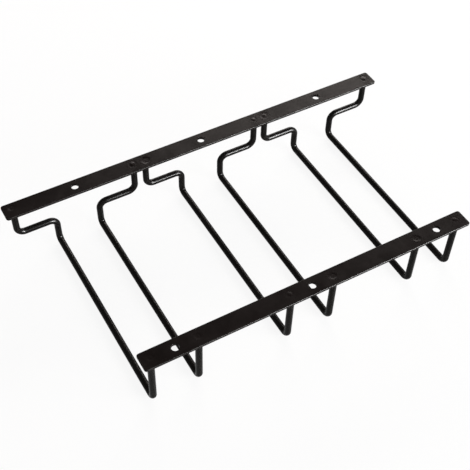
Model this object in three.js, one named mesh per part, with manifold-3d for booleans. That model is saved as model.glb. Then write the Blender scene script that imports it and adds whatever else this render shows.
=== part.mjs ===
// Rack that hangs stemmed glasses upside down under a shelf.
// Two flat steel bars screw up against the shelf, and six bent wires are welded below them in pairs.
// Each pair is one channel: the foot of a glass slides in over the raised jogs under the entry bar,
// drops onto the two long runs, and stops against the rear legs, with the stem hanging between.
// Millimetres, +Z up. The bars' top faces lie in z = 0, the glasses go in from -Y, and x = 0 is the
// middle of the rack.

import * as THREE from "three";
import { mergeVertices } from "three/addons/utils/BufferGeometryUtils.js";
import Module from "manifold-3d";

const wasm = await Module();
wasm.setup();

// Channels
const channelNames = ["left", "middle", "right"];
const sides = { left: -1, right: 1 };
const stemSlotWidth = 30.2; // clear width between the two long runs of a channel
const jogLength = 30.6; // from the centre line of a front leg in to the centre line of its run
const neighbourLegGap = 5; // clear gap between the front legs of neighbouring channels
const barSpacing = 162; // from the entry bar to the stop bar, centre to centre

// Bars
const barWidth = 14.5;
const barThickness = 2.5;
const barEdgeFlat = 0.1; // upright strip left between the upper and the lower round of an edge
const barCornerRadius = 2;
const barOverhang = 7; // past the centre of the outermost legs
const screwHoleDiameter = 6;
const holeEdgeBreak = 0.3; // round both mouths of a screw hole
const holeCutOverrun = 1; // how far the cut for a hole runs out past the faces of the bar

// Wires
const wireDiameter = 4.8;
const jogDepth = 26.3; // from the shelf down to the centre line of the jogs
const dropHeight = 21.5; // from the centre line of the jogs down to that of the long runs
const jogBendRadius = 6.1; // to the centre line of the wire, as is the next
const runBendRadius = 4.8;

// Welds
const weldHeight = 0.9; // upset metal between the end of a wire and the underside of a bar
const weldFlare = 0.7; // how far it stands out past the wire where it meets the bar

// Facets
const wireSides = 16;
const bendSteps = 8;
const cornerSteps = 4;
const edgeSteps = 5;
const holeSides = 24;
const weldSteps = 4;

// Worked out from the sizes above, from centre line to centre line
const runSpread = stemSlotWidth + wireDiameter;
const entryLegSpread = runSpread + 2 * jogLength;
const channelPitch = entryLegSpread + wireDiameter + neighbourLegGap;
const runDepth = jogDepth + dropHeight;
const outermostChannel = ((channelNames.length - 1) / 2) * channelPitch;
const entryBarLength = 2 * (outermostChannel + entryLegSpread / 2 + barOverhang);
const stopBarLength = 2 * (outermostChannel + runSpread / 2 + barOverhang);
const barEdgeRadius = (barThickness - barEdgeFlat) / 2;
const wireRadius = wireDiameter / 2;
const wireTop = -(barThickness + weldHeight);

function channelX(index) {
  return index * channelPitch - outermostChannel;
}

// Satin black powder coat, a little lighter on the flat bars, which catch the light
function powderCoat(colour) {
  return new THREE.MeshStandardMaterial({ color: colour, roughness: 0.45, metalness: 0 });
}

// Points on a round arc or circle, from one angle to another
function arcPoints(centreX, centreY, radius, fromAngle, toAngle, steps) {
  const points = [];
  for (let step = 0; step <= steps; step += 1) {
    const angle = fromAngle + ((toAngle - fromAngle) * step) / steps;
    points.push(
      new THREE.Vector2(centreX + radius * Math.cos(angle), centreY + radius * Math.sin(angle)),
    );
  }
  return points;
}

function barOutline(length) {
  const cornerX = length / 2 - barCornerRadius;
  const cornerY = barWidth / 2 - barCornerRadius;
  const corners = [
    [cornerX, cornerY],
    [-cornerX, cornerY],
    [-cornerX, -cornerY],
    [cornerX, -cornerY],
  ];
  return corners.flatMap(([x, y], quarter) => {
    const start = (quarter * Math.PI) / 2;
    return arcPoints(x, y, barCornerRadius, start, start + Math.PI / 2, cornerSteps);
  });
}

// Flat strip with rounded corners, its edges rounded over from face to face all the way round
function barBlank(length) {
  const geometry = new THREE.ExtrudeGeometry(new THREE.Shape(barOutline(length)), {
    depth: barEdgeFlat,
    bevelThickness: barEdgeRadius,
    bevelSize: barEdgeRadius,
    bevelOffset: -barEdgeRadius,
    bevelSegments: edgeSteps,
  });
  return geometry.translate(0, 0, barEdgeRadius - barThickness);
}

// What a screw hole takes out of a bar: a straight bore that widens at both faces
function holeCut(x) {
  const radius = screwHoleDiameter / 2;
  const mouth = radius + holeEdgeBreak + holeCutOverrun;
  const profile = [
    new THREE.Vector2(0, -barThickness - holeCutOverrun),
    new THREE.Vector2(mouth, -barThickness - holeCutOverrun),
    new THREE.Vector2(radius, -barThickness + holeEdgeBreak),
    new THREE.Vector2(radius, -holeEdgeBreak),
    new THREE.Vector2(mouth, holeCutOverrun),
    new THREE.Vector2(0, holeCutOverrun),
  ];
  return new THREE.LatheGeometry(profile, holeSides).rotateX(Math.PI / 2).translate(x, 0, 0);
}

function toSolid(geometry) {
  geometry.deleteAttribute("normal");
  geometry.deleteAttribute("uv");
  const merged = mergeVertices(geometry);
  return new wasm.Manifold(
    new wasm.Mesh({
      numProp: 3,
      vertProperties: merged.attributes.position.array,
      triVerts: new Uint32Array(merged.index.array),
    }),
  );
}

function toGeometry(solid) {
  const { vertProperties, triVerts } = solid.getMesh();
  const geometry = new THREE.BufferGeometry();
  geometry.setAttribute("position", new THREE.BufferAttribute(vertProperties, 3));
  geometry.setIndex(new THREE.BufferAttribute(triVerts, 1));
  geometry.computeVertexNormals();
  return geometry;
}

// Bar with a screw hole at the middle of every channel
function bar(name, length, y) {
  const drilled = channelNames.reduce(
    (solid, channel, index) => solid.subtract(toSolid(holeCut(channelX(index)))),
    toSolid(barBlank(length)),
  );
  const mesh = new THREE.Mesh(toGeometry(drilled), powderCoat(0x2b2826));
  mesh.name = name;
  mesh.position.y = y;
  return mesh;
}

// Centre line of a wire bent square at each corner. Its stations are the ends of the straights and
// even steps round each bend, and the methods below count along the stations, not along the length.
class BentWirePath extends THREE.Curve {
  constructor(corners, bendRadii) {
    super();
    this.stations = [];
    const directions = corners.slice(1).map((corner, i) => corner.clone().sub(corners[i]).normalize());
    this.stations.push({ point: corners[0], tangent: directions[0] });
    bendRadii.forEach((radius, i) => this.addBend(corners[i + 1], directions[i], directions[i + 1], radius));
    this.stations.push({ point: corners.at(-1), tangent: directions.at(-1) });
  }

  addBend(corner, into, out, radius) {
    const centre = corner.clone().addScaledVector(into, -radius).addScaledVector(out, radius);
    for (let step = 0; step <= bendSteps; step += 1) {
      const angle = ((step / bendSteps) * Math.PI) / 2;
      const outward = into.clone().multiplyScalar(Math.sin(angle)).addScaledVector(out, -Math.cos(angle));
      const tangent = into.clone().multiplyScalar(Math.cos(angle)).addScaledVector(out, Math.sin(angle));
      this.stations.push({ point: centre.clone().addScaledVector(outward, radius), tangent });
    }
  }

  get steps() {
    return this.stations.length - 1;
  }

  getPointAt(share, target = new THREE.Vector3()) {
    return target.copy(this.stations[Math.round(share * this.steps)].point);
  }

  getTangentAt(share, target = new THREE.Vector3()) {
    return target.copy(this.stations[Math.round(share * this.steps)].tangent);
  }
}

// One wire of a channel, from the entry bar down, in along the jog, down again, back along the long
// run and up to the stop bar. Its x is measured from the middle of the channel.
function wire(name, side) {
  const legX = (side * entryLegSpread) / 2;
  const runX = (side * runSpread) / 2;
  const entryY = -barSpacing / 2;
  const stopY = barSpacing / 2;
  const corners = [
    new THREE.Vector3(legX, entryY, wireTop),
    new THREE.Vector3(legX, entryY, -jogDepth),
    new THREE.Vector3(runX, entryY, -jogDepth),
    new THREE.Vector3(runX, entryY, -runDepth),
    new THREE.Vector3(runX, stopY, -runDepth),
    new THREE.Vector3(runX, stopY, wireTop),
  ];
  const path = new BentWirePath(corners, [jogBendRadius, jogBendRadius, runBendRadius, runBendRadius]);
  const circle = arcPoints(0, 0, wireRadius, 0, 2 * Math.PI, wireSides);
  circle.pop();
  const geometry = new THREE.ExtrudeGeometry(new THREE.Shape(circle), {
    steps: path.steps,
    extrudePath: path,
  });
  const mesh = new THREE.Mesh(geometry, powderCoat(0x1c1a19));
  mesh.name = name;
  return mesh;
}

// Collar of metal upset by welding a square-cut wire end to the bar: as wide as the wire below, and
// rounding out to its full width where it meets the bar's underside
function weld(name, x, y) {
  const profile = [new THREE.Vector2(0, 0)];
  for (let step = 0; step <= weldSteps; step += 1) {
    const angle = ((step / weldSteps) * Math.PI) / 2;
    profile.push(
      new THREE.Vector2(wireRadius + weldFlare * Math.sin(angle), weldHeight * (1 - Math.cos(angle))),
    );
  }
  profile.push(new THREE.Vector2(0, weldHeight));
  const geometry = new THREE.LatheGeometry(profile, wireSides);
  geometry.rotateX(Math.PI / 2);
  const mesh = new THREE.Mesh(geometry, powderCoat(0x1a1817));
  mesh.name = name;
  mesh.position.set(x, y, wireTop);
  return mesh;
}

// A channel: two mirrored wires, each with a weld at the entry bar and one at the stop bar
function channel(channelName, index) {
  const group = new THREE.Group();
  group.name = `${channelName}_channel`;
  group.position.x = channelX(index);
  for (const [sideName, side] of Object.entries(sides)) {
    const name = `${channelName}_${sideName}`;
    group.add(
      wire(`${name}_wire`, side),
      weld(`${name}_entry_weld`, (side * entryLegSpread) / 2, -barSpacing / 2),
      weld(`${name}_stop_weld`, (side * runSpread) / 2, barSpacing / 2),
    );
  }
  return group;
}

const rack = new THREE.Group();
rack.name = "hanging_glass_rack";
rack.add(
  bar("entry_bar", entryBarLength, -barSpacing / 2),
  bar("stop_bar", stopBarLength, barSpacing / 2),
  ...channelNames.map(channel),
);

export default rack;
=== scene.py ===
import math
import random

import bmesh
import bpy
from mathutils import Matrix, Vector, noise
from mathutils.geometry import delaunay_2d_cdt


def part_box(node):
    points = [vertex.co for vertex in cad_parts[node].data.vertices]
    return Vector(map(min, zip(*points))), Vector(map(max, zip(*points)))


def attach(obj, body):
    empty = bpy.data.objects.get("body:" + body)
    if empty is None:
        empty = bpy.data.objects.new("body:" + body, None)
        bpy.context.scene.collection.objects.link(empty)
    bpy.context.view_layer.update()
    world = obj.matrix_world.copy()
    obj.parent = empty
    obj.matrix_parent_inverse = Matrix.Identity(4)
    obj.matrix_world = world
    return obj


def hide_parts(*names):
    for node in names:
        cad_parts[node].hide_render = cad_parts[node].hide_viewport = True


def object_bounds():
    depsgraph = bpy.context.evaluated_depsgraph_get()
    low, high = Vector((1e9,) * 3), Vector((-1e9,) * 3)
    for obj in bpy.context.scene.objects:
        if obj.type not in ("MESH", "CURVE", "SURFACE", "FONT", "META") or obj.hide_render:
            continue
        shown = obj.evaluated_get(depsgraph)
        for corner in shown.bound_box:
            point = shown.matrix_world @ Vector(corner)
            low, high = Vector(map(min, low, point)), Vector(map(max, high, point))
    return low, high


# Hanging rack for stemmed glasses: two flat bars and six bent wires, all in satin black powder coat.
# Metres, +Z up. The bars screw up against a shelf at z = 0, and the glasses go in from -Y.

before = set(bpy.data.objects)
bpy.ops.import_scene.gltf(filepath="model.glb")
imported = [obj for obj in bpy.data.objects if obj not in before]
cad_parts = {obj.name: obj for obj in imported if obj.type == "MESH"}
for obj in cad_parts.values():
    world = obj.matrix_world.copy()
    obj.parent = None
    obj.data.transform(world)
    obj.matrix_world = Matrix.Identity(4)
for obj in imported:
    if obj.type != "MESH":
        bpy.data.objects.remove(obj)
cadLow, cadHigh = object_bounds()
print("frame loaded:", len(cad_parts), "nodes")

mm = 0.001
quarterTurn = math.pi / 2
fullTurn = 2 * math.pi
scene = bpy.context.scene
channelNames = ("left", "middle", "right")
sideNames = ("left", "right")

# Shared helpers


# From 0 to 1 with a soft start and a soft end
def ease(share):
    share = min(max(share, 0), 1)
    return (1 - math.cos(math.pi * share)) / 2


def flat(x, y):
    return Vector((x, y))


def flatSpoke(angle):
    return flat(math.cos(angle), math.sin(angle))


# Sizes given in millimetres, as metres
def inMm(**sizes):
    return {name: size * mm for name, size in sizes.items()}


# An empty shape whose points can tell the coat how far its powder draws back there and a painted sheen
# lightens it, from 0 to 1
def newShape():
    shape = bmesh.new()
    shape.verts.layers.float.new("edge")
    return shape


# Quads between closed rings that follow each other, all with as many points
def joinRings(shape, rings):
    for ring, following in zip(rings, rings[1:]):
        for i in range(len(ring)):
            j = (i + 1) % len(ring)
            shape.faces.new((ring[i], ring[j], following[j], following[i]))


def closeEnds(shape, rings):
    shape.faces.new(list(reversed(rings[0])))
    shape.faces.new(rings[-1])


def addPiece(name, shape, material, cadNode):
    bmesh.ops.recalc_face_normals(shape, faces=shape.faces)
    mesh = bpy.data.meshes.new(name)
    shape.to_mesh(mesh)
    shape.free()
    mesh.shade_smooth()
    mesh.materials.append(material)
    piece = bpy.data.objects.new(name, mesh)
    scene.collection.objects.link(piece)
    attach(piece, "root")
    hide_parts(cadNode)
    return piece


# Each of the two values is a number or another node's output
def mathNode(tree, operation, first, second, clamp=False):
    made = tree.nodes.new("ShaderNodeMath")
    made.operation = operation
    made.use_clamp = clamp
    for socket, value in zip(made.inputs, (first, second)):
        if isinstance(value, (int, float)):
            socket.default_value = value
        else:
            tree.links.new(value, socket)
    return made.outputs["Value"]


# Takes a value from one range into another, and holds it at the ends
def rangeNode(tree, value, fromLow, fromHigh, toLow=0, toHigh=1, smooth=False):
    made = tree.nodes.new("ShaderNodeMapRange")
    made.interpolation_type = "SMOOTHSTEP" if smooth else "LINEAR"
    made.inputs["From Min"].default_value = fromLow
    made.inputs["From Max"].default_value = fromHigh
    made.inputs["To Min"].default_value = toLow
    made.inputs["To Max"].default_value = toHigh
    tree.links.new(value, made.inputs["Value"])
    return made.outputs["Result"]


# Each of the two colours is red, green and blue or another node's output
def colourMix(tree, share, first, second):
    made = tree.nodes.new("ShaderNodeMix")
    made.data_type = "RGBA"
    tree.links.new(share, made.inputs["Factor"])
    for name, colour in (("A", first), ("B", second)):
        if isinstance(colour, tuple):
            made.inputs[name].default_value = (*colour, 1)
        else:
            tree.links.new(colour, made.inputs[name])
    return made.outputs["Result"]


# Camera and studio

cameraSetup = {
    "place": (0.24868, 0.38766, 0.5013),
    "turn": 148.9,  # degrees about Z, from looking along +Y
    "tilt": 40.825,  # up from straight down
    "roll": 1.944,  # about the line of sight
    "lens": 71.55,
    "sensor": 36,
    "near": 0.01,  # what is nearer than this, or farther than the next, doesn't show
    "far": 100,
}

studio = {
    "floorSize": 40,
    "floorColour": (0.9, 0.9, 0.9),
    "floorGlow": 1.0,
    "glowShare": 0.9,  # how far the glow takes over from the lit paper, where it is seen or mirrored
    "wallColour": (1, 1, 1),
    "ceilingColour": (0.05, 0.05, 0.05),
    "wallTop": 20,  # degrees above the horizon where the white wall starts to fade
    "ceilingStart": 48,
    "lampPlaces": {
        "far": {"from": (-0.91, -1.17, 0.6), "wide": 1.25, "high": 0.28, "colour": (1, 0.93, 0.88)},
        "near": {"from": (-0.9, 1.25, 0.42), "wide": 1, "high": 0.6, "colour": (1, 1, 1)},
    },
    "lamps": (
        {"name": "farSoftbox", "place": "far", "watts": 27, "onlyGloss": False},
        {"name": "nearSoftbox", "place": "near", "watts": 30, "onlyGloss": False},
        # two cards that only the gloss of the coat picks up
        {"name": "nearGlossCard", "place": "near", "watts": 1050, "onlyGloss": True},
        {"name": "farGlossCard", "place": "far", "watts": 52, "onlyGloss": True},
    ),
}


def addCamera():
    camera = bpy.data.cameras.new("camera")
    camera.sensor_width = cameraSetup["sensor"]
    camera.lens = cameraSetup["lens"]
    camera.clip_start = cameraSetup["near"]
    camera.clip_end = cameraSetup["far"]
    holder = bpy.data.objects.new("camera", camera)
    scene.collection.objects.link(holder)
    turn, tilt, roll = (math.radians(cameraSetup[key]) for key in ("turn", "tilt", "roll"))
    holder.matrix_world = (
        Matrix.Translation(cameraSetup["place"])
        @ Matrix.Rotation(turn, 4, "Z")
        @ Matrix.Rotation(tilt, 4, "X")
        @ Matrix.Rotation(roll, 4, "Z")
    )
    scene.camera = holder


# A soft lamp that looks at the middle of the rack
def addLamp(setup):
    place = studio["lampPlaces"][setup["place"]]
    lamp = bpy.data.lights.new(setup["name"], "AREA")
    lamp.shape = "RECTANGLE"
    lamp.size = place["wide"]
    lamp.size_y = place["high"]
    lamp.energy = setup["watts"]
    lamp.color = place["colour"]
    holder = bpy.data.objects.new(setup["name"], lamp)
    scene.collection.objects.link(holder)
    holder.visible_diffuse = not setup["onlyGloss"]
    holder.location = place["from"]
    holder.rotation_euler = (-Vector(place["from"])).to_track_quat("-Z", "Y").to_euler()


# White all round the horizon, with a dim ceiling above
def addWorld():
    world = bpy.data.worlds.new("studioWalls")
    world.use_nodes = True
    tree = world.node_tree
    tree.nodes.clear()
    direction = tree.nodes.new("ShaderNodeTexCoord")
    parts = tree.nodes.new("ShaderNodeSeparateXYZ")
    background = tree.nodes.new("ShaderNodeBackground")
    output = tree.nodes.new("ShaderNodeOutputWorld")
    wallTop, ceilingStart = (math.sin(math.radians(studio[key])) for key in ("wallTop", "ceilingStart"))
    height = rangeNode(tree, parts.outputs["Z"], wallTop, ceilingStart, smooth=True)
    tone = colourMix(tree, height, studio["wallColour"], studio["ceilingColour"])
    tree.links.new(direction.outputs["Generated"], parts.inputs["Vector"])
    tree.links.new(tone, background.inputs["Color"])
    tree.links.new(background.outputs["Background"], output.inputs["Surface"])
    scene.world = world


# Matt paper that glows where it is seen, mirrored or seen through something clear, so that it stays
# white and its shadow is soft. It is clear from below.
def floorMaterial():
    material = bpy.data.materials.new("floorPaper")
    material.use_nodes = True
    tree = material.node_tree
    tree.nodes.clear()
    rays = tree.nodes.new("ShaderNodeLightPath")
    seen = mathNode(tree, "ADD", rays.outputs["Is Camera Ray"], rays.outputs["Is Glossy Ray"])
    seenThrough = mathNode(tree, "ADD", seen, rays.outputs["Is Transmission Ray"], clamp=True)
    paper = tree.nodes.new("ShaderNodeBsdfDiffuse")
    paper.inputs["Color"].default_value = (*studio["floorColour"], 1)
    glow = tree.nodes.new("ShaderNodeEmission")
    glow.inputs["Strength"].default_value = studio["floorGlow"]
    lit = tree.nodes.new("ShaderNodeMixShader")
    side = tree.nodes.new("ShaderNodeNewGeometry")
    clear = tree.nodes.new("ShaderNodeBsdfTransparent")
    both = tree.nodes.new("ShaderNodeMixShader")
    output = tree.nodes.new("ShaderNodeOutputMaterial")
    tree.links.new(mathNode(tree, "MULTIPLY", seenThrough, studio["glowShare"]), lit.inputs["Fac"])
    tree.links.new(paper.outputs["BSDF"], lit.inputs[1])
    tree.links.new(glow.outputs["Emission"], lit.inputs[2])
    tree.links.new(side.outputs["Backfacing"], both.inputs["Fac"])
    tree.links.new(lit.outputs["Shader"], both.inputs[1])
    tree.links.new(clear.outputs["BSDF"], both.inputs[2])
    tree.links.new(both.outputs["Shader"], output.inputs["Surface"])
    return material


def addFloor():
    shape = bmesh.new()
    half = studio["floorSize"] / 2
    corners = ((-half, -half), (half, -half), (half, half), (-half, half))
    shape.faces.new([shape.verts.new((x, y, cadLow.z)) for x, y in corners])
    mesh = bpy.data.meshes.new("floor")
    shape.to_mesh(mesh)
    shape.free()
    mesh.materials.append(floorMaterial())
    floor = bpy.data.objects.new("floor", mesh)
    scene.collection.objects.link(floor)


addCamera()
addWorld()
addFloor()
for lampSetup in studio["lamps"]:
    addLamp(lampSetup)
scene.view_settings.view_transform = "Standard"
print("studio: camera, floor, white walls and", len(studio["lamps"]), "soft lamps")

# Powder coat

coat = {
    "bar": {"colour": (0.0064, 0.0042, 0.0038), "roughness": 0.33, "peelDepth": 0.006 * mm},
    "wire": {"colour": (0.0075, 0.0068, 0.0064), "roughness": 0.24, "peelDepth": 0.006 * mm},
    "weld": {"colour": (0.003, 0.0025, 0.0022), "roughness": 0.4, "peelDepth": 0.006 * mm},
    "specular": 0.03,
    "thinPowderSheenColour": (0.022, 0.02, 0.019),  # over sharp edges, where the powder draws back; lighter, as a painted sheen that stands in for the edges' highlight
    "cloudShade": 0.15,  # how much the clouds darken and lighten the colour, as a share of it
    "cloudDulling": 0.04,  # how much they take from the roughness and add to it
    "wireThickness": 0.1 * mm,  # of the powder on the wires
}

orangePeel = {
    "size": 1.3 * mm,  # from crest to crest
    "detail": 2,
    "roughness": 0.4,
}

powderClouds = {
    "size": 16 * mm,
    "detail": 4,
    "roughness": 0.6,
    "distortion": 0.4,
    "thickest": 0.3,  # values of the noise that stand for the thickest and the thinnest powder
    "thinnest": 0.7,
}

powderNibs = {
    "spacing": 9 * mm,
    "height": 0.02 * mm,
    "reachShare": 0.045,  # how far a nib reaches, as a share of the spacing
}

thinEdgeSheen = {
    "amount": 0.6,  # how far the thin colour, a painted sheen as well as thin powder, shows through where the powder is thinnest
}


# Inputs are given with their usual values, and all sockets carry numbers
def makeGroup(name, inputs, output):
    tree = bpy.data.node_groups.new(name, "ShaderNodeTree")
    for socketName, value in inputs.items():
        socket = tree.interface.new_socket(name=socketName, in_out="INPUT", socket_type="NodeSocketFloat")
        socket.default_value = value
    tree.interface.new_socket(name=output, in_out="OUTPUT", socket_type="NodeSocketFloat")
    return tree, tree.nodes.new("NodeGroupInput"), tree.nodes.new("NodeGroupOutput")


# Lays a texture over the piece, with one cell or wave to each length of the size
def sizeTexture(tree, texture, size):
    place = tree.nodes.new("ShaderNodeTexCoord")
    tree.links.new(place.outputs["Object"], texture.inputs["Vector"])
    tree.links.new(mathNode(tree, "DIVIDE", 1, size), texture.inputs["Scale"])


# Height of the fine ripple that sprayed powder melts into, in metres
def orangePeelGroup():
    tree, given, result = makeGroup("orangePeel", {"Size": orangePeel["size"], "Depth": 0}, "Height")
    ripple = tree.nodes.new("ShaderNodeTexNoise")
    ripple.inputs["Detail"].default_value = orangePeel["detail"]
    ripple.inputs["Roughness"].default_value = orangePeel["roughness"]
    sizeTexture(tree, ripple, given.outputs["Size"])
    height = mathNode(tree, "MULTIPLY", ripple.outputs["Fac"], given.outputs["Depth"])
    tree.links.new(height, result.inputs["Height"])
    return tree


# Soft patches of thicker and thinner powder, from 0 to 1
def cloudGroup():
    tree, given, result = makeGroup("powderClouds", {"Size": powderClouds["size"]}, "Mask")
    cloud = tree.nodes.new("ShaderNodeTexNoise")
    cloud.inputs["Detail"].default_value = powderClouds["detail"]
    cloud.inputs["Roughness"].default_value = powderClouds["roughness"]
    cloud.inputs["Distortion"].default_value = powderClouds["distortion"]
    sizeTexture(tree, cloud, given.outputs["Size"])
    mask = rangeNode(tree, cloud.outputs["Fac"], powderClouds["thickest"], powderClouds["thinnest"])
    tree.links.new(mask, result.inputs["Mask"])
    return tree


# Scattered grains that melted into the coat as low nibs
def nibGroup():
    inputs = {"Spacing": powderNibs["spacing"], "Height": powderNibs["height"]}
    tree, given, result = makeGroup("powderNibs", inputs, "Height")
    cells = tree.nodes.new("ShaderNodeTexVoronoi")
    sizeTexture(tree, cells, given.outputs["Spacing"])
    dome = rangeNode(tree, cells.outputs["Distance"], powderNibs["reachShare"], 0, smooth=True)
    tree.links.new(mathNode(tree, "MULTIPLY", dome, given.outputs["Height"]), result.inputs["Height"])
    return tree


# Where the powder lies thin and a painted sheen lightens the edges: the mesh says how far that reaches
# from an edge, and the clouds break it up
def thinEdgeSheenGroup():
    tree, given, result = makeGroup("thinEdgeSheen", {"Clouds": 1, "Amount": thinEdgeSheen["amount"]}, "Mask")
    edge = tree.nodes.new("ShaderNodeAttribute")
    edge.attribute_name = "edge"
    broken = mathNode(tree, "MULTIPLY", edge.outputs["Fac"], given.outputs["Clouds"])
    tree.links.new(mathNode(tree, "MULTIPLY", broken, given.outputs["Amount"]), result.inputs["Mask"])
    return tree


coatGroups = {
    "peel": orangePeelGroup(),
    "clouds": cloudGroup(),
    "nibs": nibGroup(),
    "edges": thinEdgeSheenGroup(),
}


def placeGroup(tree, key, **values):
    made = tree.nodes.new("ShaderNodeGroup")
    made.node_tree = coatGroups[key]
    for name, value in values.items():
        made.inputs[name].default_value = value
    return made


def coatMaterial(name, finish):
    material = bpy.data.materials.new(name)
    material.use_nodes = True
    tree = material.node_tree
    shader = tree.nodes["Principled BSDF"]
    shader.inputs["Specular IOR Level"].default_value = coat["specular"]
    clouds = placeGroup(tree, "clouds").outputs["Mask"]
    peel = placeGroup(tree, "peel", Depth=finish["peelDepth"])
    nibs = placeGroup(tree, "nibs")
    edges = placeGroup(tree, "edges")
    tree.links.new(clouds, edges.inputs["Clouds"])

    darker = tuple((1 - coat["cloudShade"]) * part for part in finish["colour"])
    lighter = tuple((1 + coat["cloudShade"]) * part for part in finish["colour"])
    patchy = colourMix(tree, clouds, darker, lighter)
    # painted sheen: the rounded edges of the bars take the lighter thin colour, which stands in for their
    # highlight as well as for thin powder
    thinnedAndSheened = colourMix(tree, edges.outputs["Mask"], patchy, coat["thinPowderSheenColour"])
    tree.links.new(thinnedAndSheened, shader.inputs["Base Color"])

    glossiest = finish["roughness"] - coat["cloudDulling"]
    dullest = finish["roughness"] + coat["cloudDulling"]
    tree.links.new(rangeNode(tree, clouds, 0, 1, glossiest, dullest), shader.inputs["Roughness"])

    bump = tree.nodes.new("ShaderNodeBump")
    bump.inputs["Distance"].default_value = 1  # the heights are in metres
    height = mathNode(tree, "ADD", peel.outputs["Height"], nibs.outputs["Height"])
    tree.links.new(height, bump.inputs["Height"])
    tree.links.new(bump.outputs["Normal"], shader.inputs["Normal"])
    return material


barCoat = coatMaterial("barPowderCoat", coat["bar"])
wireCoat = coatMaterial("wirePowderCoat", coat["wire"])
weldCoat = coatMaterial("weldPowderCoat", coat["weld"])
print("powder coat: three black satin finishes")

# Sizes read from the frame


def middle(cadNode):
    low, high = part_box(cadNode)
    return (low + high) / 2


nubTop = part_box("entry_bar")[1].z  # where the nubs of the weld marks touch the shelf
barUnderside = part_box("entry_bar")[0].z
entryY = middle("entry_bar").y
stopY = middle("stop_bar").y


# The box of a wire tells how thick it is under its coat. The coat adds to that, and the long run lies
# that much higher, so that it stays within the box.
def wireNumbers(channelName, sideName):
    low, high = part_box(f"{channelName}_{sideName}_wire")
    bare = entryY - low.y
    radius = bare + coat["wireThickness"]
    legX, runX = low.x + bare, high.x - bare
    if sideName == "right":
        legX, runX = runX, legX
    return {"radius": radius, "legX": legX, "runX": runX, "runZ": low.z + radius, "topZ": high.z}


def channelX(channelName):
    left, right = (wireNumbers(channelName, sideName)["runX"] for sideName in sideNames)
    return (left + right) / 2


# Weld marks on top of the bars

weldMark = {
    # A mark is a round hollow with a nub in it: how far out the hollow's floor and its slope reach, how
    # deep it is, and how far out and how high the nub reaches.
    "kinds": {
        # the wire's end has pushed the bar up from below, and the skin round it has sunk
        "nub": inMm(floor=2.2, slope=3.6, depth=0.06, nub=2.4, rise=0.35),
        "wideNub": inMm(floor=2.7, slope=4, depth=0.08, nub=2.8, rise=0.4),
        "lowNub": inMm(floor=2.2, slope=3.4, depth=0.03, nub=2.5, rise=0.22),
        # the welder's electrode has pressed the hollow
        "print": inMm(floor=1.7, slope=3.3, depth=0.22, nub=1.4, rise=0.02),
        "widePrint": inMm(floor=2.1, slope=4.1, depth=0.29, nub=1.4, rise=0.04),
        "shallow": inMm(floor=1.6, slope=3.2, depth=0.16, nub=1.7, rise=0.03),
        # both at once
        "struck": inMm(floor=2.8, slope=4.2, depth=0.14, nub=2.3, rise=0.27),
        "faint": inMm(floor=1, slope=3.4, depth=0.1, nub=1.7, rise=0.06),
    },
    # Kind of each mark and how far it lies off its leg, along the bar and across it
    "places": {
        "entry": {
            "left_left": ("wideNub", -0.3 * mm, -1.2 * mm),
            "left_right": ("struck", -0.1 * mm, -1.1 * mm),
            "middle_left": ("nub", 0.1 * mm, -1.2 * mm),
            "middle_right": ("widePrint", -0.7 * mm, -0.3 * mm),
            "right_left": ("wideNub", 0.2 * mm, -1.2 * mm),
            "right_right": ("shallow", -0.3 * mm, -2.2 * mm),
        },
        "stop": {
            "left_left": ("lowNub", 1 * mm, -1.4 * mm),
            "left_right": ("print", 1.3 * mm, 0),
            "middle_left": ("print", 1.7 * mm, -0.2 * mm),
            "middle_right": ("lowNub", 0.8 * mm, -1.1 * mm),
            "right_left": ("faint", 0.2 * mm, -0.5 * mm),
            "right_right": ("faint", -0.3 * mm, -0.8 * mm),
        },
    },
    "rings": 14,  # of points over each mark, with so many points in each
    "sides": 40,
    "uneven": 0.07,  # how much a mark is stretched, as a share of its size
    "seeds": {"entry": 16, "stop": 15},
}


def weldMarks(end):
    chance = random.Random(weldMark["seeds"][end])
    legKey, barY = ("legX", entryY) if end == "entry" else ("runX", stopY)
    marks = []
    for leg, (kind, along, across) in weldMark["places"][end].items():
        x = wireNumbers(*leg.split("_"))[legKey]
        marks.append({
            "centre": flat(x + along, barY + across),
            "phase": chance.uniform(0, fullTurn),
            **weldMark["kinds"][kind],
        })
    return marks


# Distance from the mark's centre, stretched a little so that no mark is a true circle
def markDistance(mark, x, y):
    away = flat(x, y) - mark["centre"]
    angle = math.atan2(away.y, away.x)
    return away.length * (1 + weldMark["uneven"] * math.sin(2 * angle + mark["phase"]))


def markHeight(mark, x, y):
    distance = markDistance(mark, x, y)
    sunk = 1 - ease((distance - mark["floor"]) / (mark["slope"] - mark["floor"]))
    raised = 1 - ease(distance / mark["nub"])
    return mark["rise"] * raised - mark["depth"] * sunk


# Bars

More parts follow.
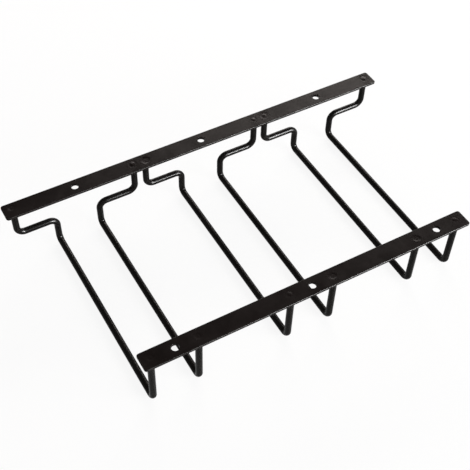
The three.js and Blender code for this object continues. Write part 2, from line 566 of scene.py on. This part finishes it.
bar = {
    "cornerRadius": 2 * mm,
    "cornerSteps": 8,
    "edgeRadius": 0.5 * mm,  # the strip is rolled with round edges, fuller below than above
    "underRadius": 0.8 * mm,
    "edgeSteps": 10,
    "sideStep": 2.5 * mm,  # between points along the edges
    "edgeThinningAndSheen": 0.8,  # how far the powder draws back and a painted sheen lightens the coat, over the edges and in the holes, from 0 to 1
    "holeThinningAndSheen": 0,
    "holeDiameter": 5.7 * mm,  # a 6 mm hole, less the coat on its wall
    # How far each hole was punched off its place, along +X and +Y, in the order of the channels
    "holeDrift": {
        "entry": ((-0.6 * mm, -0.3 * mm), (-0.2 * mm, -0.2 * mm), (-0.6 * mm, -0.3 * mm)),
        "stop": ((0.8 * mm, -0.2 * mm), (0.8 * mm, -0.1 * mm), (-0.4 * mm, 0)),
    },
    "holeSides": 60,
    "punchedLip": 0.06 * mm,  # round lip on the side where the punch went in
    "brokenLip": 0.05 * mm,
    "gridStep": 1.7 * mm,  # between the points that carry the relief of a face
    "gridGapShare": 0.4,  # of a grid step, clear of the grid round the edges and the weld marks
    "holeGapShare": 0.6,
    "topDrop": 0.25 * mm,  # from the tops of the weld nubs down to the skin about them
    "waveHeight": 0.012 * mm,  # the strip is never quite flat
    "waveLength": 22 * mm,
    "waveFade": 3.4 * mm,  # how far from the rims the waves have their full height
}

barTop = nubTop - bar["topDrop"]


# Points round a rectangle with round corners, anticlockwise, with the same count at every inset
def barRing(halfLength, halfWidth, inset):
    radius = bar["cornerRadius"] - inset
    centres = [
        flat(sx * (halfLength - bar["cornerRadius"]), sy * (halfWidth - bar["cornerRadius"]))
        for sx, sy in ((1, 1), (-1, 1), (-1, -1), (1, -1))
    ]
    points = []
    for quarter, centre in enumerate(centres):
        for step in range(bar["cornerSteps"] + 1):
            angle = quarterTurn * (quarter + step / bar["cornerSteps"])
            points.append(centre + flatSpoke(angle) * radius)
        following = centres[(quarter + 1) % len(centres)]
        outward = flatSpoke(quarterTurn * (quarter + 1)) * radius
        steps = max(2, round((following - centre).length / bar["sideStep"]))
        for step in range(1, steps):
            points.append(centre.lerp(following, step / steps) + outward)
    return points


def holeRing(centre, radius):
    return [centre + flatSpoke(fullTurn * i / bar["holeSides"]) * radius for i in range(bar["holeSides"])]


# Inset and height along a rounded edge, from the top face over the edge and round to the underside
def edgeProfile(topRadius, lowRadius):
    profile = []
    angles = [quarterTurn * step / bar["edgeSteps"] for step in range(bar["edgeSteps"] + 1)]
    for angle in angles:
        down = topRadius * (1 - math.cos(angle))
        profile.append((topRadius * (1 - math.sin(angle)), barTop - down))
    for angle in angles:
        up = lowRadius * (1 - math.sin(angle))
        profile.append((lowRadius * (1 - math.cos(angle)), barUnderside + up))
    return profile


# Wall down a rounded edge, from rings of flat points with their heights. It gives back the uppermost
# and the lowest ring.
def edgeWall(shape, outlines, thinningAndSheen):
    edge = shape.verts.layers.float["edge"]
    rings = []
    for points, z in outlines:
        ring = [shape.verts.new((*point, z)) for point in points]
        for vertex in ring:
            # how far the powder thins and a painted sheen lightens the coat at these points
            vertex[edge] = thinningAndSheen
        rings.append(ring)
    joinRings(shape, rings)
    return rings[0], rings[-1]


# Triangles between the outer ring and the hole rings, over loose points that carry the relief
def fillFace(shape, outer, holes, loose, heightAt):
    withinOuter = 1  # kind of output: the triangles within the outer ring
    samePlace = 1e-9  # metres between points that count as one
    vertices, edges = [], []
    for ring in (outer, *holes):
        start = len(vertices)
        edges += [(start + i, start + (i + 1) % len(ring)) for i in range(len(ring))]
        vertices += ring
    vertices += [shape.verts.new((x, y, heightAt(x, y))) for x, y in loose]
    points = [vertex.co.xy for vertex in vertices]
    _, _, faces, origins, _, _ = delaunay_2d_cdt(points, edges, [], withinOuter, samePlace)
    rims = [set(hole) for hole in holes]
    for face in faces:
        corners = [vertices[origins[index][0]] for index in face]
        if not any(rim.issuperset(corners) for rim in rims):
            shape.faces.new(corners)


# A grid over the face that leaves room for the holes and the weld marks, and rings over each mark
def loosePoints(low, high, holeCentres, marks):
    step = bar["gridStep"]
    gap = step * bar["gridGapShare"]
    holeReach = bar["holeDiameter"] / 2 + bar["punchedLip"] + step * bar["holeGapShare"]
    cleared = [(centre, holeReach) for centre in holeCentres]
    cleared += [(mark["centre"], mark["slope"] + gap) for mark in marks]
    margin = bar["edgeRadius"] + gap
    length, width = high.x - low.x - 2 * margin, high.y - low.y - 2 * margin
    along, across = (max(1, round(span / step)) for span in (length, width))
    points = []
    for i in range(along + 1):
        for j in range(across + 1):
            x = low.x + margin + length * i / along
            y = low.y + margin + width * j / across
            if all((flat(x, y) - centre).length > reach for centre, reach in cleared):
                points.append((x, y))
    for mark in marks:
        centre = mark["centre"]
        points.append(tuple(centre))
        for ring in range(1, weldMark["rings"] + 1):
            radius = mark["slope"] * ring / weldMark["rings"]
            for i in range(weldMark["sides"]):
                angle = fullTurn * (i + ring % 2 / 2) / weldMark["sides"]
                points.append((centre.x + radius * math.cos(angle), centre.y + radius * math.sin(angle)))
    return points


def makeBar(cadNode, end):
    low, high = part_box(cadNode)
    centre = (low + high) / 2
    halfLength, halfWidth = (high.x - low.x) / 2, (high.y - low.y) / 2
    holeRadius = bar["holeDiameter"] / 2
    holeCentres = [
        flat(channelX(channelName) + along, centre.y + across)
        for channelName, (along, across) in zip(channelNames, bar["holeDrift"][end])
    ]
    marks = weldMarks(end)
    shape = newShape()
    outlines = [
        ([point + centre.xy for point in barRing(halfLength, halfWidth, inset)], z)
        for inset, z in edgeProfile(bar["edgeRadius"], bar["underRadius"])
    ]
    # painted sheen and thin powder over the rounded edges of the bar; none in the holes
    top, under = edgeWall(shape, outlines, bar["edgeThinningAndSheen"])
    punchedEdge = edgeProfile(bar["punchedLip"], bar["brokenLip"])
    holeTops, holeUnders = [], []
    for holeCentre in holeCentres:
        outlines = [(holeRing(holeCentre, holeRadius + inset), z) for inset, z in punchedEdge]
        rim, lowerRim = edgeWall(shape, outlines, bar["holeThinningAndSheen"])
        holeTops.append(rim)
        holeUnders.append(lowerRim)

    def fadeToRims(x, y):
        toEdge = min(high.x - x, x - low.x, high.y - y, y - low.y) - bar["edgeRadius"]
        toHole = min((flat(x, y) - holeCentre).length for holeCentre in holeCentres) - holeRadius
        return ease(min(toEdge, toHole) / bar["waveFade"])

    def topHeight(x, y):
        wave = (1 + noise.noise(Vector((x, y, 0)) / bar["waveLength"])) / 2
        marked = sum(markHeight(mark, x, y) for mark in marks)
        return min(barTop - bar["waveHeight"] * wave * fadeToRims(x, y) + marked, nubTop)

    fillFace(shape, top, holeTops, loosePoints(low, high, holeCentres, marks), topHeight)
    fillFace(
        shape, under, holeUnders, loosePoints(low, high, holeCentres, []), lambda x, y: barUnderside
    )
    piece = addPiece(f"{cadNode}_plate", shape, barCoat, cadNode)
    evenShade = piece.modifiers.new("evenShade", "WEIGHTED_NORMAL")
    evenShade.keep_sharp = False


makeBar("entry_bar", "entry")
makeBar("stop_bar", "stop")
print("bars: two plates with punched holes and weld marks")

# Wires

wire = {
    "jogZ": -26.3 * mm,
    "jogBend": 6.1 * mm,
    "runBend": 4.8 * mm,
    "sides": 40,
    "bendSteps": 22,
    "straightStep": 5 * mm,
    "flatten": 0.045,  # share of the thickness that a bend presses out of the wire
    "widen": 0.02,  # share by which it gets wider there
    "pinFlat": 0.93,  # the bending pin flattens the inside of a bend to this share of the radius
}


# Stations along a wire bent square at each corner: point, direction, outward side of the bend and how
# far into the bend it lies, from 0 at its ends to 1 at its middle
def bentPath(corners, radii):
    directions = [(after - before).normalized() for before, after in zip(corners, corners[1:])]
    stations = []

    def addStraight(start, end, direction):
        steps = max(1, round((end - start).length / wire["straightStep"]))
        for step in range(steps + 1):
            stations.append((start.lerp(end, step / steps), direction, None, 0))

    start = corners[0]
    for corner, into, out, radius in zip(corners[1:], directions, directions[1:], radii):
        centre = corner - into * radius + out * radius
        addStraight(start, corner - into * radius, into)
        for step in range(1, wire["bendSteps"]):
            share = step / wire["bendSteps"]
            angle = quarterTurn * share
            outward = into * math.sin(angle) - out * math.cos(angle)
            direction = into * math.cos(angle) + out * math.sin(angle)
            bent = math.sin(math.pi * share) ** 2
            stations.append((centre + outward * radius, direction, outward, bent))
        start = corner + out * radius
    addStraight(start, corners[-1], directions[-1])
    return stations


# A bend presses the wire a little flat, and most of all where its inside lies against the pin
def pressedOffset(offset, outward, bent, radius):
    inPlane = offset.dot(outward)
    pinSide = -radius * (1 - (1 - wire["pinFlat"]) * bent)
    pressed = max(inPlane * (1 - wire["flatten"] * bent), pinSide)
    aside = offset - outward * inPlane
    return aside * (1 + wire["widen"] * bent) + outward * pressed


def sweepWire(shape, stations, radius):
    before = stations[0][1]
    across = before.orthogonal().normalized()
    rings = []
    for point, direction, outward, bent in stations:
        across = before.rotation_difference(direction) @ across
        across = (across - direction * across.dot(direction)).normalized()
        before = direction
        up = direction.cross(across)
        ring = []
        for i in range(wire["sides"]):
            angle = fullTurn * i / wire["sides"]
            offset = (across * math.cos(angle) + up * math.sin(angle)) * radius
            if outward is not None:
                offset = pressedOffset(offset, outward, bent, radius)
            ring.append(shape.verts.new(point + offset))
        rings.append(ring)
    joinRings(shape, rings)
    closeEnds(shape, rings)


# From the entry bar down, in along the jog, down again, back along the long run and up to the stop bar
def makeWire(channelName, sideName):
    numbers = wireNumbers(channelName, sideName)
    legX, runX, runZ, topZ = (numbers[key] for key in ("legX", "runX", "runZ", "topZ"))
    corners = [
        Vector((legX, entryY, topZ)),
        Vector((legX, entryY, wire["jogZ"])),
        Vector((runX, entryY, wire["jogZ"])),
        Vector((runX, entryY, runZ)),
        Vector((runX, stopY, runZ)),
        Vector((runX, stopY, topZ)),
    ]
    radii = (wire["jogBend"], wire["jogBend"], wire["runBend"], wire["runBend"])
    shape = newShape()
    sweepWire(shape, bentPath(corners, radii), numbers["radius"])
    name = f"{channelName}_{sideName}_wire"
    addPiece(f"{name}_rod", shape, wireCoat, name)


for channelName in channelNames:
    for sideName in sideNames:
        makeWire(channelName, sideName)
print("wires: six bent rods")

# Welds

weld = {
    "sides": 48,
    "steps": 14,
    "bead": 0.75 * mm,  # how far the upset metal stands out at the bar
    "beadCurve": 1.7,  # how hollow its slope is, where 1 is straight
    "rollShare": 0.35,  # a further swelling just below the bar, as a share of the bead
    "rollsInHeight": 2.2,  # how many such swellings would fill the height of the bead
    "skirt": 0.7 * mm,  # how far it runs down over the wire
    "feather": 0.02 * mm,  # what is left of it at its lower edge
    "featherCurve": 6,  # how suddenly the bead thins out at its lower edge
    "uneven": 0.13 * mm,
    "unevenPace": 1.3,  # how fast the lumps follow each other round the bead
    "ragged": 0.15,  # how unevenly its lower edge runs, as a share of its height
    "raggedPace": 1.1,
    "seatShare": 0.8,  # of its height, how far down it lies against the wire inside
    "noiseSpan": 9,  # how far out in the noise a bead can take its lumps from
    "seed": 5,
}


# Upset metal round the end of a wire: a low bead at the bar that feathers out on to the wire, with a
# flat seat inside it for the wire's square-cut end
def makeWeld(name, chance):
    low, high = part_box(name)
    centre = (low + high) / 2
    radius = wireNumbers("left", "left")["radius"]
    tall = high.z - low.z + weld["skirt"]
    span = weld["noiseSpan"]
    drift = Vector((chance.uniform(-span, span), chance.uniform(-span, span), 0))
    angles = [fullTurn * i / weld["sides"] for i in range(weld["sides"])]
    shape = newShape()
    rings = []
    for step in range(weld["steps"] + 1):
        down = step / weld["steps"]
        roll = math.sin(math.pi * min(down * weld["rollsInHeight"], 1)) ** 2
        swell = (1 - down) ** weld["beadCurve"] + weld["rollShare"] * roll
        ring = []
        for angle in angles:
            spoke = Vector((math.cos(angle), math.sin(angle), 0))
            lump = noise.noise(spoke * weld["unevenPace"] + drift) * weld["uneven"] * (1 - down)
            bead = (weld["bead"] * swell + lump) * (1 - down ** weld["featherCurve"])
            ragged = 1 + weld["ragged"] * noise.noise(spoke * weld["raggedPace"] - drift)
            axisPoint = Vector((centre.x, centre.y, high.z - tall * down * ragged))
            ring.append(shape.verts.new(axisPoint + spoke * (radius + weld["feather"] + bead)))
        rings.append(ring)
    for z in (high.z - tall * weld["seatShare"], low.z):  # inside, against the wire and across its end
        rings.append([
            shape.verts.new((centre.x + radius * math.cos(angle), centre.y + radius * math.sin(angle), z))
            for angle in angles
        ])
    joinRings(shape, rings)
    closeEnds(shape, rings)
    addPiece(f"{name}_bead", shape, weldCoat, name)


weldChance = random.Random(weld["seed"])
for channelName in channelNames:
    for sideName in sideNames:
        for end in ("entry", "stop"):
            makeWeld(f"{channelName}_{sideName}_{end}_weld", weldChance)
print("welds: twelve beads of upset metal")

# End of the scene
print("scene built")
